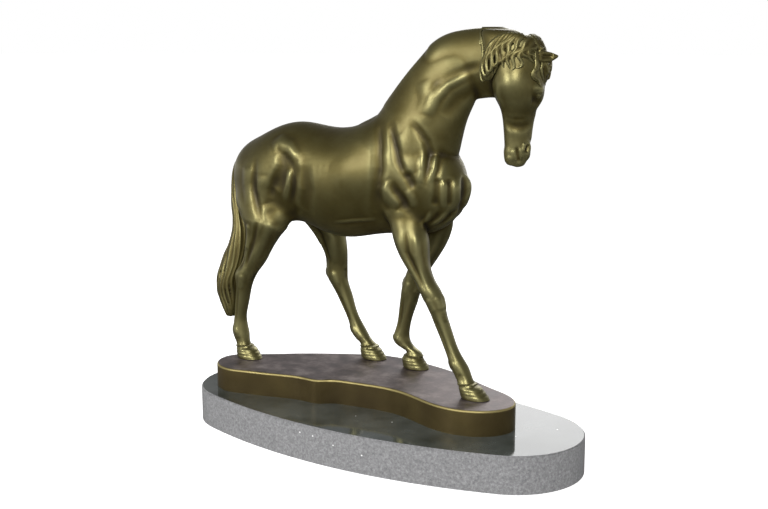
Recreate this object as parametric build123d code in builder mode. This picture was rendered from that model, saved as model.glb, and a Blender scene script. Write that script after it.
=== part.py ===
from build123d import *
import os
from math import cos, hypot, radians, sin

# A walking horse statuette in cast bronze, standing on a hollow bronze ground plinth that is bolted
# to an oval slab of polished stone. Millimetres, +Z up, +X the way the horse walks.
# The origin is the middle of the slab's footprint, on the surface that the felt pads stand on.

os.makedirs("parts", exist_ok=True)

# ---------------------------------------------------------------- driving dimensions
stone_length = 420.0
stone_width = 182.0
stone_end_radius = 68.0
stone_rim_bevel = 1.2
felt_thickness = 1.0
felt_radius = 10.0
felt_places = [(130, 40), (130, -40), (-130, 40), (-130, -40)]
stone_top = 36.0
plinth_height = 24.0
plinth_wall = 5.0
plinth_edge_round = 2.0
casting_wall = 6.0

bolt_radius = 3.0
bolt_clearance_radius = 3.5
bolt_head_radius = 5.8
bolt_head_height = 4.0
bolt_places = [(-120, -6), (-20, 26), (78, 2)]
boss_radius = 9.0
washer_radius = 8.5
washer_thickness = 1.6
counterbore_radius = 9.5
counterbore_depth = 13.0
thread_depth = 14.0

stud_radius = 2.5
stud_depth_in_hoof = 11.0
nut_radius = 4.6
nut_height = 4.0
stud_tail = 2.0

stone_bottom = felt_thickness
ground = stone_top + plinth_height
bolt_seat = stone_bottom + counterbore_depth

# The plinth's outline, from its hind end forward along the near side and back along the far side.
# The near side waves, with one small step in the rockwork.
plinth_outline = [
    (-188, -13), (-179, -36), (-156, -48), (-130, -44), (-107, -39), (-72, -32), (-52, -31),
    (-44, -25), (-20, -19), (8, -16), (39, -20), (75, -34), (104, -38), (127, -31), (141, -17),
    (145, 0), (137, 18), (100, 40), (49, 66), (10, 78), (-43, 83), (-91, 63), (-129, 40), (-164, 14),
]

# ---------------------------------------------------------------- the horse's sections
# Barrel, from buttocks to chest: x, y, middle height, half height, half width.
body_sections = [
    (-197, 30, 249, 9, 8), (-192, 30, 249, 21, 18), (-182, 30, 249, 33, 28),
    (-163, 30, 249, 43, 36), (-140, 30, 252, 50, 40), (-115, 30, 256, 51, 40),
    (-85, 30, 251, 53, 41), (-55, 30, 249, 55, 42), (-25, 30, 256, 57, 40), (5, 30, 260, 57, 37),
    (30, 30, 257, 52, 34), (50, 30, 254, 43, 31), (64, 30, 252, 29, 24), (73, 30, 251, 12, 12),
]

# Rising part of the neck: height, x, y, half length, half width.
neck_rise_sections = [
    (262, 20, 30, 46, 33), (282, 17, 30, 48, 31), (300, 20, 30, 50, 28.5), (313, 25, 30, 49, 26),
    (328, 34, 30.5, 47, 22.5), (342, 42.5, 31, 45.5, 20), (356, 50, 31.5, 42, 18),
    (370, 57, 32.5, 36.5, 16), (381, 61, 34, 29, 12), (388, 66, 35, 21, 8),
]

# Arched part of the neck: x, y, middle height, half height, half width.
neck_arch_sections = [
    (36, 32, 364, 20, 13), (48, 33, 365, 26.5, 16.5), (62, 34.5, 366, 30, 17),
    (76, 36, 366, 32, 17), (90, 37, 367, 32, 16.5), (104, 38, 367, 31, 16), (118, 38, 366, 28, 14.5),
]
neck_seam_crest = (-19, 327)
neck_seam_throat = (72, 294)
poll_seam_x = 112.0

# Head, hanging straight down and turned to the horse's left: height, middle forward of the head's
# axis, half depth, half width.
head_x = 130.0
head_y = 38.0
head_yaw = 38.0
head_sections = [
    (392, -4, 12, 9), (384, -4.5, 19, 15), (372, -5, 22, 18), (358, -5, 23.5, 20.5),
    (345, -5, 23.5, 20.5), (334, -4, 20.5, 18), (324, -5, 15.5, 14), (312, -5.5, 13, 11.5),
    (298, -5.5, 11.8, 10.5), (288, -5, 11.5, 11), (281, -5.5, 10, 10), (275.5, -7, 6, 6.5),
]

# Legs, from inside the body to the coronet: height, x, y, half length, half width. The last entry of
# each is followed by the hoof, which has its own sole.
front_right_sections = [
    (240, 13, 18, 24, 14), (223, 21, 11, 22, 15), (206, 29.5, 6, 17.5, 15), (184, 36.5, 4, 13.5, 12.5),
    (166, 47, 3, 10, 10), (155, 54.5, 3, 10.5, 10.5), (143, 60, 3, 9, 9), (116, 72, 3, 6.6, 6.8),
    (98, 81, 2, 7, 7), (88, 86.5, 2, 8.8, 8.2), (79, 92, 1, 8, 7.2), (70, 98.5, 0, 10.5, 10),
]
front_left_sections = [
    (240, 17, 43, 24, 14), (223, 26, 49, 23, 15), (206, 28, 54, 18, 15), (184, 20, 56, 14.5, 12.5),
    (158, 6, 57, 11, 10.5), (146, 1, 57, 10.5, 10), (133, -2, 57, 9.5, 9.5), (112, -7, 57, 7, 7),
    (100, -10, 57, 7.2, 7), (91, -12, 57, 8.6, 8.2), (81, -5, 57.5, 8, 7.2), (71, 0, 58, 10.5, 10),
]
hind_right_sections = [
    (240, -156, 16, 30, 18), (228, -151, 9, 35, 20), (216, -144, 4, 33, 19), (204, -140, 1, 27, 17),
    (189, -145, 0, 18.5, 14), (176, -150, -1, 15, 12), (163, -156, -1, 13, 10.5),
    (151, -165, -2, 12.5, 10), (142, -168, -2, 10, 9), (129, -170, -2, 7.6, 7.8),
    (112, -173, -2, 6.5, 6.8), (98, -175, -2, 7, 7), (90, -175, -2, 8.6, 8.2),
    (79, -172, -3, 7.8, 7.2), (70, -167.5, -3, 10.5, 10),
]
hind_left_sections = [
    (240, -149, 44, 30, 18), (228, -138, 50, 32, 19), (214, -124, 56, 28, 18),
    (199, -111, 60, 21.5, 15), (184, -103, 62, 17, 13), (170, -98, 63, 13.5, 11),
    (158, -97, 64, 12, 10), (147, -97, 64, 12, 10), (139, -95, 64, 10.5, 9.5),
    (128, -89.5, 65, 8.5, 8.2), (112, -82, 65, 6.6, 6.8), (96, -75, 66, 7, 7),
    (87, -70.5, 66, 8.6, 8.2), (79, -64, 66, 7.8, 7.2), (71, -57, 66, 10.5, 10),
]
coronet_height = 72.0
hoof_sole_half_length = 14.5
hoof_sole_half_width = 11.5
leg_seam = 192.0

# Hoof soles: middle x and y.
hoof_places = {
    "front_right_leg": (106, 0),
    "front_left_leg": (5.5, 58.5),
    "hind_right_leg": (-161.5, -3.5),
    "hind_left_leg": (-51, 66),
}

# Tail, from inside the rump to its tip: height, x, y, half length, half width.
tail_sections = [
    (276, -169, 30, 7, 8), (268, -185, 30, 9, 9), (254, -196, 30, 7.5, 9), (231, -198, 28, 6.5, 8),
    (215, -194.5, 24, 6.5, 8), (194, -188, 18, 7.5, 8), (171, -189, 12, 10, 9),
    (152, -192.5, 8, 12, 10), (138, -195, 4, 11.5, 9), (126, -195, 2, 10.5, 8),
    (112, -192, 1, 8, 7), (100, -191, 1, 4, 4),
]

# Mane over the poll, falling on the horse's right side: height, x, y, half length, half width.
poll_lock_sections = [
    (399.5, 101, 35, 12, 7), (387, 112, 27, 23, 10), (371, 111, 22.5, 17, 8), (357, 106, 19, 9, 6),
    (350, 102, 19, 4.5, 4),
]

# Forelock down the forehead: height, forward of the head's axis, half depth, half width.
forelock_sections = [
    (388, 8, 8, 10), (374, 15, 6.5, 12), (358, 16.5, 6, 11), (346, 14.5, 4, 6),
]
mane_drop = 17.0
mane_spread = 0.7
mane_half_length = 17.0
mane_half_thickness = 7.0

# Ears, along the way each one points: share of the length, half height, half width.
ear_sections = [(0.0, 5.0, 4.5), (0.35, 6.5, 5.0), (0.7, 4.5, 3.5), (1.0, 0.8, 0.8)]
ear_length = 24.0


# ---------------------------------------------------------------- helpers
def oval_arcs(length, width, end_radius):
    """The three points of each of the four tangent arcs that make an oval."""
    end_middle = length / 2 - end_radius
    spare = width / 2 - end_radius
    side_middle = (end_middle**2 - spare**2) / (2 * spare)
    side_radius = width / 2 + side_middle
    share = side_radius / hypot(end_middle, side_middle)
    join_x = end_middle * share
    join_y = side_middle * share - side_middle
    return [
        ((join_x, -join_y), (length / 2, 0), (join_x, join_y)),
        ((join_x, join_y), (0, width / 2), (-join_x, join_y)),
        ((-join_x, join_y), (-length / 2, 0), (-join_x, -join_y)),
        ((-join_x, -join_y), (0, -width / 2), (join_x, -join_y)),
    ]


def inset(points, distance):
    """The points of a closed anticlockwise outline moved inwards."""
    moved = []
    for before, here, after in zip(points[-1:] + points[:-1], points, points[1:] + points[:1]):
        along_x = after[0] - before[0]
        along_y = after[1] - before[1]
        length = hypot(along_x, along_y)
        moved.append((here[0] - distance * along_y / length, here[1] + distance * along_x / length))
    return moved


def level_loft(sections, shrink=0):
    """A solid through level ellipses: height, x, y, half length, half width."""
    with BuildPart() as solid:
        for height, x, y, half_length, half_width in sections:
            with BuildSketch(Plane((x, y, height))):
                Ellipse(half_length - shrink, half_width - shrink)
        loft()
    return solid.part


def upright_loft(sections, shrink=0):
    """A solid through ellipses that face along x: x, y, middle height, half height, half width."""
    with BuildPart() as solid:
        for x, y, height, half_height, half_width in sections:
            with BuildSketch(Plane((x, y, height), x_dir=(0, 1, 0), z_dir=(1, 0, 0))):
                Ellipse(half_width - shrink, half_height - shrink)
        loft()
    return solid.part


def head_point(forward, left, height):
    """A point given in the head's own directions."""
    yaw = radians(head_yaw)
    return (
        head_x + forward * cos(yaw) - left * sin(yaw),
        head_y + forward * sin(yaw) + left * cos(yaw),
        height,
    )


def head_loft(sections):
    """A solid through level ellipses turned with the head: height, forward, half depth, half width."""
    yaw = radians(head_yaw)
    with BuildPart() as solid:
        for height, forward, half_depth, half_width in sections:
            plane = Plane(head_point(forward, 0, height), x_dir=(cos(yaw), sin(yaw), 0))
            with BuildSketch(plane):
                Ellipse(half_depth, half_width)
        loft()
    return solid.part


def mane_fall():
    """The hair that follows the crest down the left side of the neck."""
    rise = [
        (height, x - half_length + mane_drop, y + half_width * mane_spread, mane_half_length,
         mane_half_thickness)
        for height, x, y, half_length, half_width in neck_rise_sections[3:-2]
    ]
    arch = [
        (x, y + half_width * mane_spread, height + half_height - mane_drop, mane_half_length,
         mane_half_thickness)
        for x, y, height, half_height, half_width in neck_arch_sections[:-1]
    ]
    with BuildPart() as solid:
        add(level_loft(rise))
        add(upright_loft(arch))
    return solid.part


def leg(sections, hoof_place):
    """One whole limb, from inside the body to the sole."""
    coronet_x, coronet_y = sections[-1][1:3]
    hoof_sections = [
        (coronet_height, coronet_x, coronet_y, 10.8, 10.2),
        (ground, *hoof_place, hoof_sole_half_length, hoof_sole_half_width),
    ]
    with BuildPart() as solid:
        add(level_loft(sections))
        add(level_loft(hoof_sections))
    return solid.part


def stud_holes(places):
    """Cylinders where the studs stand, from under the plinth's nuts up into the hooves."""
    with BuildPart() as solid:
        low = ground - plinth_wall - nut_height - stud_tail
        with BuildSketch(Plane.XY.offset(low)):
            with Locations(*places):
                Circle(stud_radius)
        extrude(amount=ground + stud_depth_in_hoof - low)
    return solid.part


def ear(forward, left, height, turn, lift):
    """A leaf-shaped ear from its root, turned outwards and lifted by the given angles."""
    turned = radians(head_yaw + turn)
    lifted = radians(lift)
    way = Vector(cos(turned) * cos(lifted), sin(turned) * cos(lifted), sin(lifted))
    root = Vector(*head_point(forward, left, height))
    with BuildPart() as solid:
        for share, half_height, half_width in ear_sections:
            middle = root + way * (ear_length * share)
            with BuildSketch(Plane(middle, x_dir=(-way.Y, way.X, 0), z_dir=way)):
                Ellipse(half_width, half_height)
        loft()
    return solid.part


# ---------------------------------------------------------------- stone slab
with BuildPart() as stone_base:
    with BuildSketch(Plane.XY.offset(stone_bottom)):
        with BuildLine():
            for arc in oval_arcs(stone_length, stone_width, stone_end_radius):
                ThreePointArc(*arc)
        make_face()
    extrude(amount=stone_top - stone_bottom)
    chamfer(stone_base.faces().sort_by(Axis.Z)[-1].edges(), stone_rim_bevel)
    with BuildSketch(Plane.XY.offset(stone_bottom)):
        with Locations(*bolt_places):
            Circle(counterbore_radius)
    extrude(amount=counterbore_depth, mode=Mode.SUBTRACT)
    with BuildSketch(Plane.XY.offset(bolt_seat)):
        with Locations(*bolt_places):
            Circle(bolt_clearance_radius)
    extrude(amount=stone_top - bolt_seat, mode=Mode.SUBTRACT)

stone_base.part.label = "stone_base"
export_step(stone_base.part, "parts/stone_base.step")

# ---------------------------------------------------------------- felt pads
with BuildPart() as felt_pads:
    with BuildSketch(Plane.XY):
        with Locations(*felt_places):
            Circle(felt_radius)
    extrude(amount=felt_thickness)

felt_pads.part.label = "felt_pads"
export_step(felt_pads.part, "parts/felt_pads.step")

# ---------------------------------------------------------------- bronze ground plinth
# A hollow casting, open underneath, with three bosses for the bolts that come up through the stone.
with BuildPart() as ground_plinth:
    with BuildSketch(Plane.XY.offset(stone_top)):
        with BuildLine():
            Spline(*plinth_outline, periodic=True)
        make_face()
    extrude(amount=plinth_height)
    fillet(ground_plinth.faces().sort_by(Axis.Z)[-1].edges(), plinth_edge_round)
    with BuildSketch(Plane.XY.offset(stone_top)):
        with BuildLine():
            Spline(*inset(plinth_outline, plinth_wall), periodic=True)
        make_face()
    extrude(amount=plinth_height - plinth_wall, mode=Mode.SUBTRACT)
    with BuildSketch(Plane.XY.offset(stone_top)):
        with Locations(*bolt_places):
            Circle(boss_radius)
    extrude(amount=plinth_height - plinth_wall)
    with BuildSketch(Plane.XY.offset(stone_top)):
        with Locations(*bolt_places):
            Circle(bolt_radius)
    extrude(amount=thread_depth, mode=Mode.SUBTRACT)
    add(stud_holes(hoof_places.values()), mode=Mode.SUBTRACT)

ground_plinth.part.label = "ground_plinth"
export_step(ground_plinth.part, "parts/ground_plinth.step")

# ---------------------------------------------------------------- bolts and washers under the stone
head_low = bolt_seat - washer_thickness - bolt_head_height
with BuildPart() as plinth_bolts:
    with BuildSketch(Plane.XY.offset(head_low)):
        with Locations(*bolt_places):
            RegularPolygon(bolt_head_radius, 6)
    extrude(amount=bolt_head_height)
    with BuildSketch(Plane.XY.offset(head_low)):
        with Locations(*bolt_places):
            Circle(bolt_radius)
    extrude(amount=stone_top + thread_depth - 2 - head_low)

plinth_bolts.part.label = "plinth_bolts"
export_step(plinth_bolts.part, "parts/plinth_bolts.step")

with BuildPart() as plinth_washers:
    with BuildSketch(Plane.XY.offset(bolt_seat - washer_thickness)):
        with Locations(*bolt_places):
            Circle(washer_radius)
            Circle(bolt_radius, mode=Mode.SUBTRACT)
    extrude(amount=washer_thickness)

plinth_washers.part.label = "plinth_washers"
export_step(plinth_washers.part, "parts/plinth_washers.step")

# ---------------------------------------------------------------- studs and nuts under the hooves
with BuildPart() as hoof_studs:
    add(stud_holes(hoof_places.values()))

hoof_studs.part.label = "hoof_studs"
export_step(hoof_studs.part, "parts/hoof_studs.step")

with BuildPart() as hoof_nuts:
    with BuildSketch(Plane.XY.offset(ground - plinth_wall - nut_height)):
        with Locations(*hoof_places.values()):
            RegularPolygon(nut_radius, 6)
            Circle(stud_radius, mode=Mode.SUBTRACT)
    extrude(amount=nut_height)

hoof_nuts.part.label = "hoof_nuts"
export_step(hoof_nuts.part, "parts/hoof_nuts.step")

# ---------------------------------------------------------------- legs
# Each limb is one casting, welded to the body on a level seam just below the belly.
limb_sections = {
    "front_right_leg": front_right_sections,
    "front_left_leg": front_left_sections,
    "hind_right_leg": hind_right_sections,
    "hind_left_leg": hind_left_sections,
}
limb_roots = []
for name, sections in limb_sections.items():
    whole_limb = leg(sections, hoof_places[name])
    with BuildPart() as limb:
        add(whole_limb)
        split(bisect_by=Plane.XY.offset(leg_seam), keep=Keep.BOTTOM)
        add(stud_holes([hoof_places[name]]), mode=Mode.SUBTRACT)
    with BuildPart() as limb_root:
        add(whole_limb)
        split(bisect_by=Plane.XY.offset(leg_seam), keep=Keep.TOP)
    limb_roots.append(limb_root.part)
    limb.part.label = name
    export_step(limb.part, "parts/" + name + ".step")

# ---------------------------------------------------------------- neck and torso
# The neck is its own hollow casting. Its seam with the torso leans with the withers.
neck_seam = Plane(
    (neck_seam_crest[0], 0, neck_seam_crest[1]),
    x_dir=(0, 1, 0),
    z_dir=(neck_seam_crest[1] - neck_seam_throat[1], 0, neck_seam_throat[0] - neck_seam_crest[0]),
)
poll_seam = Plane((poll_seam_x, 0, 0), x_dir=(0, 1, 0), z_dir=(1, 0, 0))

with BuildPart() as whole_neck:
    add(level_loft(neck_rise_sections))
    add(upright_loft(neck_arch_sections))

with BuildPart() as neck_hollow:
    add(level_loft(neck_rise_sections[:-2], casting_wall))
    add(upright_loft(neck_arch_sections[1:-1], casting_wall))

with BuildPart() as neck_root:
    add(whole_neck.part)
    split(bisect_by=neck_seam, keep=Keep.BOTTOM)

with BuildPart() as torso_form:
    add(upright_loft(body_sections))
    for limb_root in limb_roots:
        add(limb_root)
    add(neck_root.part)

with BuildPart() as torso:
    add(torso_form.part)
    add(upright_loft(body_sections[2:-2], casting_wall), mode=Mode.SUBTRACT)
    add(neck_hollow.part, mode=Mode.SUBTRACT)

torso.part.label = "torso"
export_step(torso.part, "parts/torso.step")

with BuildPart() as neck_form:
    add(whole_neck.part)
    split(bisect_by=neck_seam, keep=Keep.TOP)
    split(bisect_by=poll_seam, keep=Keep.BOTTOM)

with BuildPart() as neck:
    add(neck_form.part)
    add(neck_hollow.part, mode=Mode.SUBTRACT)

neck.part.label = "neck"
export_step(neck.part, "parts/neck.step")

# ---------------------------------------------------------------- head and ears
with BuildPart() as neck_end:
    add(whole_neck.part)
    split(bisect_by=poll_seam, keep=Keep.TOP)

with BuildPart() as head:
    add(head_loft(head_sections))
    add(neck_end.part)
    add(neck_form.part, mode=Mode.SUBTRACT)

head.part.label = "head"
export_step(head.part, "parts/head.step")

with BuildPart() as right_ear:
    add(ear(4, -9, 371, -6, 6))
    add(head.part, mode=Mode.SUBTRACT)

right_ear.part.label = "right_ear"
export_step(right_ear.part, "parts/right_ear.step")

with BuildPart() as left_ear:
    add(ear(0, 9, 371, 10, 4))
    add(head.part, mode=Mode.SUBTRACT)

left_ear.part.label = "left_ear"
export_step(left_ear.part, "parts/left_ear.step")

# ---------------------------------------------------------------- hair
with BuildPart() as forelock:
    add(head_loft(forelock_sections))
    for neighbour in (head, neck_form, right_ear, left_ear):
        add(neighbour.part, mode=Mode.SUBTRACT)

forelock.part.label = "forelock"
export_step(forelock.part, "parts/forelock.step")

with BuildPart() as mane:
    add(mane_fall())
    add(level_loft(poll_lock_sections))
    for neighbour in (torso_form, neck_form, head, forelock, right_ear, left_ear):
        add(neighbour.part, mode=Mode.SUBTRACT)

mane.part.label = "mane"
export_step(mane.part, "parts/mane.step")

with BuildPart() as tail:
    add(level_loft(tail_sections))
    add(torso_form.part, mode=Mode.SUBTRACT)

tail.part.label = "tail"
export_step(tail.part, "parts/tail.step")
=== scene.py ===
# %% [markdown]
# # A bronze horse on a polished stone base
# A walking horse in patinated bronze stands on a thin bronze piece of ground, which is bolted down to an
# oval stone slab. The foundry makes such a horse in wax first: a founder takes a rough form, presses
# muscles and grooves into it, lays on threads of wax for the hair, and cuts the wax into parts to cast.
# This lesson works the same way. The CAD parts are the rough form, and every place below is in
# millimetres in the same frame, so that what is shaped here lands where the CAD says.

# %% Load the frame
import bpy
import numpy as np
from math import cos, pi, radians, sin
from mathutils import Euler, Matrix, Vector
from mathutils.bvhtree import BVHTree


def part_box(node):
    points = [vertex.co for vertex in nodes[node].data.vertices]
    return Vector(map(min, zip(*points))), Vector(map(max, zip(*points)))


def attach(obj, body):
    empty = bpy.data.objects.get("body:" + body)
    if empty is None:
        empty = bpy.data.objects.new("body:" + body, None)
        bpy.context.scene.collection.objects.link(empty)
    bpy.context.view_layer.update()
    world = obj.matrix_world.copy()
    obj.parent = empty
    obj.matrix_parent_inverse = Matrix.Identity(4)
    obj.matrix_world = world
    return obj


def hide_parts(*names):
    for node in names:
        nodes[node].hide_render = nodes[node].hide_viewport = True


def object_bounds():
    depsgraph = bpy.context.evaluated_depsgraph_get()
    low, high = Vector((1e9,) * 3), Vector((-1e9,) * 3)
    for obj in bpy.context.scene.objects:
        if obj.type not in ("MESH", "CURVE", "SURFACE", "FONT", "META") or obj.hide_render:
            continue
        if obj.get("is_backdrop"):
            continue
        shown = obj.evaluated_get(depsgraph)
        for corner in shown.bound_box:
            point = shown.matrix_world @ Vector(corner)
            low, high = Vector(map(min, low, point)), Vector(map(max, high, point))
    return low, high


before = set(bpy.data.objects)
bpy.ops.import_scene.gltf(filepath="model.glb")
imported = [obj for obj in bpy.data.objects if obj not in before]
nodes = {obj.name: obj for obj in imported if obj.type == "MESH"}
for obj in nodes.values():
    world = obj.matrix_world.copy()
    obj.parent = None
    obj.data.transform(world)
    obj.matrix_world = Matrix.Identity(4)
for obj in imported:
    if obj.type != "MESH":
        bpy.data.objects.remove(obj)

cad_low, cad_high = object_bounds()
MM = 0.001
print("CAD box, mm:", [round(v / MM, 1) for v in (*cad_low, *cad_high)])

# %% [markdown]
# ## Camera
# The statue is seen from its right front, a little above the back. The camera is made first, because every
# later choice of detail depends on how large a form looks from there.

# %% Camera
LOOK_DOWN = 10.30
LOOK_ASIDE = 33.18
camera_data = bpy.data.cameras.new("studio_camera")
camera_data.lens = 54
camera_data.sensor_width = 36
camera = bpy.data.objects.new("studio_camera", camera_data)
camera.location = (0.5974, -0.9075, 0.3831)
camera.rotation_euler = Euler((radians(90 - LOOK_DOWN), 0, radians(LOOK_ASIDE)))
bpy.context.scene.collection.objects.link(camera)
bpy.context.scene.camera = camera
print("camera stands", round(camera.location.length, 2), "m from the slab's middle")

# %% [markdown]
# ## Helpers for the wax
# Three small tools do most of the work. One picks objects, because an operator acts on all that is
# selected. One makes wax from CAD parts: it copies them, welds the loose triangles, joins the copies and
# rebuilds them as one even skin with a voxel remesh, which is the quickest way to fuse crossing forms.
# The last one draws out the surface points and normals as arrays, so that a stroke can move thousands of
# them at once.

# %% Picking, copying and fusing


def pick(*pieces):
    """Select these objects only, the last one active."""
    bpy.ops.object.select_all(action="DESELECT")
    for piece in pieces:
        piece.select_set(True)
    bpy.context.view_layer.objects.active = pieces[-1]


def wax_copy(node, grow=0.0):
    """A welded copy of a CAD part, grown by so many millimetres."""
    copy = nodes[node].copy()
    copy.data = nodes[node].data.copy()
    copy.parent = None
    for key in list(copy.keys()):
        del copy[key]
    bpy.context.scene.collection.objects.link(copy)
    copy.hide_render = False
    pick(copy)
    bpy.ops.object.mode_set(mode="EDIT")
    bpy.ops.mesh.select_all(action="SELECT")
    bpy.ops.mesh.remove_doubles(threshold=0.01 * MM)
    if grow:
        bpy.ops.transform.shrink_fatten(value=grow * MM)
    bpy.ops.object.mode_set(mode="OBJECT")
    return copy


def join(name, pieces):
    """One object out of several."""
    pick(*pieces)
    if len(pieces) > 1:
        bpy.ops.object.join()
    piece = bpy.context.view_layer.objects.active
    piece.name = name
    piece.data.name = name
    piece.data.materials.clear()
    return piece


def apply_modifier(piece, kind, **values):
    """Add a modifier with these values and apply it."""
    pick(piece)
    modifier = piece.modifiers.new(kind.lower(), kind)
    for key, value in values.items():
        setattr(modifier, key, value)
    bpy.ops.object.modifier_apply(modifier=modifier.name)


def fuse(piece, voxel, smooth=2):
    """Rebuild as one even skin, keep the outer shell only, and smooth it."""
    apply_modifier(piece, "REMESH", mode="VOXEL", voxel_size=voxel * MM, use_smooth_shade=True)
    pick(piece)
    bpy.ops.mesh.separate(type="LOOSE")
    shells = sorted(bpy.context.selected_objects, key=lambda s: s.dimensions.length)
    outer = shells[-1]
    for inner in shells[:-1]:
        bpy.data.objects.remove(inner)
    outer.name = outer.data.name = piece_name(outer.name)
    if smooth:
        apply_modifier(outer, "SMOOTH", factor=0.5, iterations=smooth)
    print(outer.name, "shells:", len(shells), "points:", len(outer.data.vertices))
    return outer


def piece_name(name):
    """The name without Blender's number."""
    return name.split(".")[0]


def skin(piece):
    """The points of a piece in millimetres, and its normals."""
    mesh = piece.data
    points = np.empty(len(mesh.vertices) * 3)
    mesh.vertices.foreach_get("co", points)
    normals = np.empty(len(mesh.vertices) * 3)
    mesh.vertex_normals.foreach_get("vector", normals)
    return points.reshape(-1, 3) / MM, normals.reshape(-1, 3)


def set_skin(piece, points):
    """Write the points back."""
    piece.data.vertices.foreach_set("co", (points * MM).ravel())
    piece.data.update()


# %% [markdown]
# ## Strokes
# A muscle or a groove is a stroke: a line over the surface, a width and a height in millimetres. Points
# near the line move along their normals, most on the line and none at the width, as wax does under a
# rounded tool. A line of two numbers a place is drawn on the side view and works on both flanks; a line of
# three numbers a place works only where it lies.

# %% The stroke tool


def distance_to(points, line):
    """How far each point is from a line through the given places, and how far along it, from 0 to 1."""
    best = np.full(len(points), 1e9)
    along = np.zeros(len(points))
    lengths = np.linalg.norm(np.diff(line, axis=0), axis=1)
    passed = 0.0
    for start, end, length in zip(line[:-1], line[1:], lengths):
        run = end - start
        share = np.clip((points - start) @ run / max(run @ run, 1e-9), 0, 1)
        apart = np.linalg.norm(points - start - share[:, None] * run, axis=1)
        along = np.where(apart < best, (passed + share * length) / lengths.sum(), along)
        best = np.minimum(best, apart)
        passed += length
    return best, along


def model(piece, strokes, facing=None):
    """Move the skin by all these strokes of (line, width, height) at once."""
    points, normals = skin(piece)
    lift = np.zeros(len(points))
    for line, width, height in strokes:
        line = np.array(line, float)
        if len(line) == 1:
            line = np.vstack([line, line + 0.01])
        flat = line.shape[1] == 2
        seen = points[:, [0, 2]] if flat else points
        near = np.all((seen > line.min(0) - width) & (seen < line.max(0) + width), axis=1)
        apart, share_along = distance_to(seen[near], line)
        share = np.clip(1 - (apart / width) ** 2, 0, 1) ** 2
        if len(line) > 2:
            share = share * (1 - 0.8 * np.abs(2 * share_along - 1) ** 3)
        if flat:
            share = share * np.clip(np.abs(normals[near, 1]) * 1.7 - 0.2, 0, 1)
        if facing is not None:
            share = share * np.clip(normals[near] @ np.array(facing) * 1.5, 0, 1)
        lift[near] += height * share
    set_skin(piece, points + normals * lift[:, None])
    highest, deepest = round(lift.max(), 2), round(lift.min(), 2)
    print(piece.name, "strokes:", len(strokes), "highest", highest, "deepest", deepest)


# %% [markdown]
# Where two rough forms meet, the joint shows as a crease. A thumb rubbed along it blends it away: each
# point near the line is moved to the middle of its neighbours, again and again.

# %% The thumb


def neighbours(piece):
    """The two ends of every edge, and each point's number of neighbours."""
    edges = np.empty(len(piece.data.edges) * 2, dtype=np.int64)
    piece.data.edges.foreach_get("vertices", edges)
    counts = np.maximum(np.bincount(edges, minlength=len(piece.data.vertices)), 1)
    return edges[0::2], edges[1::2], counts


def neighbour_mean(values, starts, ends, counts):
    """The mean of each point's neighbours."""
    total = np.bincount(starts, weights=values[ends], minlength=len(values))
    total += np.bincount(ends, weights=values[starts], minlength=len(values))
    return total / counts


def rub(piece, line, width, passes):
    """Blend the skin along a line on the side view, on both flanks."""
    points, _ = skin(piece)
    apart, _ = distance_to(points[:, [0, 2]], np.array(line, float))
    share = (np.clip(1 - apart / width, 0, 1) ** 0.5)[:, None]
    webs = neighbours(piece)
    for _ in range(passes):
        soft = np.column_stack([neighbour_mean(points[:, k], *webs) for k in range(3)])
        points += share * (soft - points)
    set_skin(piece, points)


# %% [markdown]
# ## The rough wax of the horse
# The horse is cast in parts, but its skin runs on over the seams. So all the parts are fused first,
# modelled as one, and cut at the seams afterwards. Each copy is grown a little, so that neighbours that
# only touch overlap and fuse.

# %% Fuse the rough form
LEGS = ("front_right_leg", "front_left_leg", "hind_right_leg", "hind_left_leg")
GROW = 0.35
VOXEL = 1.1
horse = join("horse_wax", [wax_copy(n, GROW) for n in ("torso", "neck", "head", *LEGS)])
horse = fuse(horse, VOXEL, smooth=6)
points, normals = skin(horse)
set_skin(horse, points - normals * GROW)

# %% [markdown]
# ## Muscles of the body
# A walking horse shows the back edge of the shoulder, the bulge of the triceps above the elbow, the point
# of the hip with the hollow behind it, the stifle groove and the long muscles of the thigh. Broad masses
# come first and the narrow grooves last, in one pass each, so that a groove follows the new surface.

# %% Blend the roots of the legs and the neck
THUMB_PASSES = 130
rub(horse, [(-182, 238), (-165, 234), (-140, 232), (-118, 228), (-100, 218)], 24, THUMB_PASSES)
rub(horse, [(-4, 242), (14, 246), (34, 244), (50, 232)], 16, THUMB_PASSES // 2)
rub(horse, [(-40, 312), (-20, 312), (0, 300)], 18, THUMB_PASSES)

# %% Broad masses of the trunk and neck
model(horse, [
    ([(18, 300), (34, 286), (42, 268)], 17, 1.9),
    ([(7, 256), (14, 243), (23, 233)], 12, 2.9),
    ([(-30, 262), (-20, 258)], 26, 1.2),
    ([(-128, 283), (-119, 288), (-106, 284), (-94, 273)], 9, 2.4),
    ([(-110, 279), (-108, 266), (-112, 254), (-120, 241)], 12, -2.8),
    ([(-136, 255), (-137, 240), (-132, 226)], 14, 2.2),
    ([(-158, 262), (-158, 244), (-150, 224)], 10, 1.6),
    ([(-101, 262), (-104, 244), (-110, 230)], 7, 1.4),
    ([(-86, 268), (-80, 244), (-88, 222)], 13, -1.8),
    ([(47, 318), (52, 334), (62, 348), (80, 358)], 9, 1.5),
    ([(40, 352), (46, 336), (44, 320)], 12, 1.2),
    ([(62, 318), (74, 334), (92, 344)], 9, -1.6),
    ([(72, 18, 252), (70, 16, 238)], 13, 2.2),
    ([(72, 42, 252), (70, 44, 238)], 13, 2.2),
    ([(-44, 30, 312), (-30, 30, 314), (-20, 30, 318)], 13, 2.6),
    ([(-8, 31, 336), (4, 31, 350), (18, 31, 366), (32, 32, 380)], 11, -2.4),
])

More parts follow.
